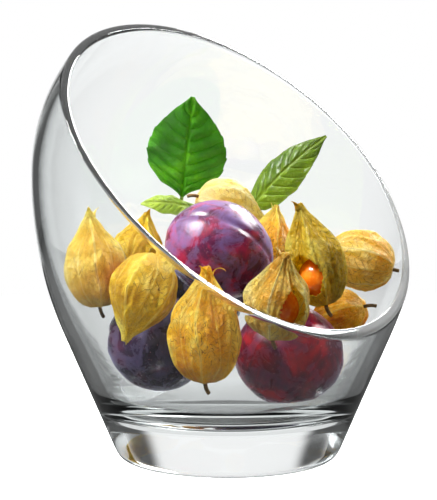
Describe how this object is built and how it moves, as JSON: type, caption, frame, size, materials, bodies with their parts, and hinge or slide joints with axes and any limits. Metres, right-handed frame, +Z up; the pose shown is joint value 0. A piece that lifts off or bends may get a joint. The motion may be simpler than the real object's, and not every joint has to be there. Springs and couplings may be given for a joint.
{
  "type": "slanted glass fruit bowl",
  "caption": "Clear glass bowl with a slanted mouth and a heavy foot, holding plums, physalis in their husks and a sprig of basil.",
  "frame": {"origin": "centre of the foot's underside, on the table", "axes": "+Z up through the foot's centre; the low side of the slanted mouth faces -Y; +X to the right seen from the front"},
  "size_m": [0.167, 0.1538, 0.1947],
  "materials": {
    "clear_glass": "clear, fire-polished",
    "plum_skin": "waxy skin with bloom; density near that of fruit",
    "husk_paper": "dry, veined",
    "berry_skin": "glossy skin; density near that of fruit",
    "dry_stalk": "dry",
    "leaf": "satin, veined",
    "green_stem": "satin"
  },
  "bodies": {
    "bowl": {"glass_bowl": "clear_glass"},
    "lower_fruit": {"plum_left": "plum_skin", "plum_right": "plum_skin", "plum_rear": "plum_skin", "husk_rear_low": "husk_paper", "berry_rear_low": "berry_skin", "stalk_rear_low": "dry_stalk"},
    "physalis_front_left": {"husk_front_left": "husk_paper", "berry_front_left": "berry_skin", "stalk_front_left": "dry_stalk"},
    "upper_plum": {"plum_upper": "plum_skin"},
    "physalis_front": {"husk_front": "husk_paper", "berry_front": "berry_skin", "stalk_front": "dry_stalk"},
    "physalis_front_right": {"husk_front_right": "husk_paper", "berry_front_right": "berry_skin", "stalk_front_right": "dry_stalk"},
    "physalis_low_right": {"husk_low_right": "husk_paper", "berry_low_right": "berry_skin", "stalk_low_right": "dry_stalk"},
    "physalis_far_right": {"husk_far_right": "husk_paper", "berry_far_right": "berry_skin", "stalk_far_right": "dry_stalk"},
    "physalis_centre_right": {"husk_centre_right": "husk_paper", "berry_centre_right": "berry_skin", "stalk_centre_right": "dry_stalk"},
    "physalis_far_left": {"husk_far_left": "husk_paper", "berry_far_left": "berry_skin", "stalk_far_left": "dry_stalk"},
    "physalis_rear_left": {"husk_rear_left": "husk_paper", "berry_rear_left": "berry_skin", "stalk_rear_left": "dry_stalk"},
    "physalis_top": {"husk_top": "husk_paper", "berry_top": "berry_skin", "stalk_top": "dry_stalk"},
    "physalis_rear_right": {"husk_rear_right": "husk_paper", "berry_rear_right": "berry_skin", "stalk_rear_right": "dry_stalk"},
    "basil": {"basil_stem": "green_stem", "basil_leaf_large": "leaf", "basil_leaf_right": "leaf", "basil_leaf_small": "leaf"}
  },
  "joints": [
    {"name": "lower_fruit_lift", "type": "slide", "parent": "bowl", "child": "lower_fruit", "axis": [0, -0.4226, 0.9063], "range_m": [0, 0.2]},
    {"name": "physalis_front_left_lift", "type": "slide", "parent": "lower_fruit", "child": "physalis_front_left", "axis": [0, -0.4226, 0.9063], "range_m": [0, 0.16]},
    {"name": "upper_plum_lift", "type": "slide", "parent": "physalis_front_left", "child": "upper_plum", "axis": [0, -0.4226, 0.9063], "range_m": [0, 0.16]},
    {"name": "physalis_front_lift", "type": "slide", "parent": "lower_fruit", "child": "physalis_front", "axis": [0, -0.4226, 0.9063], "range_m": [0, 0.16]},
    {"name": "physalis_front_right_lift", "type": "slide", "parent": "physalis_front", "child": "physalis_front_right", "axis": [0, -0.4226, 0.9063], "range_m": [0, 0.16]},
    {"name": "physalis_low_right_lift", "type": "slide", "parent": "lower_fruit", "child": "physalis_low_right", "axis": [0, -0.4226, 0.9063], "range_m": [0, 0.16]},
    {"name": "physalis_far_right_lift", "type": "slide", "parent": "physalis_low_right", "child": "physalis_far_right", "axis": [0, -0.4226, 0.9063], "range_m": [0, 0.16]},
    {"name": "physalis_centre_right_lift", "type": "slide", "parent": "lower_fruit", "child": "physalis_centre_right", "axis": [0, -0.4226, 0.9063], "range_m": [0, 0.16]},
    {"name": "physalis_far_left_lift", "type": "slide", "parent": "lower_fruit", "child": "physalis_far_left", "axis": [0, -0.4226, 0.9063], "range_m": [0, 0.16]},
    {"name": "physalis_rear_left_lift", "type": "slide", "parent": "lower_fruit", "child": "physalis_rear_left", "axis": [0, -0.4226, 0.9063], "range_m": [0, 0.16]},
    {"name": "physalis_top_lift", "type": "slide", "parent": "lower_fruit", "child": "physalis_top", "axis": [0, -0.4226, 0.9063], "range_m": [0, 0.16]},
    {"name": "physalis_rear_right_lift", "type": "slide", "parent": "lower_fruit", "child": "physalis_rear_right", "axis": [0, -0.4226, 0.9063], "range_m": [0, 0.16]},
    {"name": "basil_lift", "type": "slide", "parent": "physalis_top", "child": "basil", "axis": [0, 0, 1], "range_m": [0, 0.018]}
  ]
}
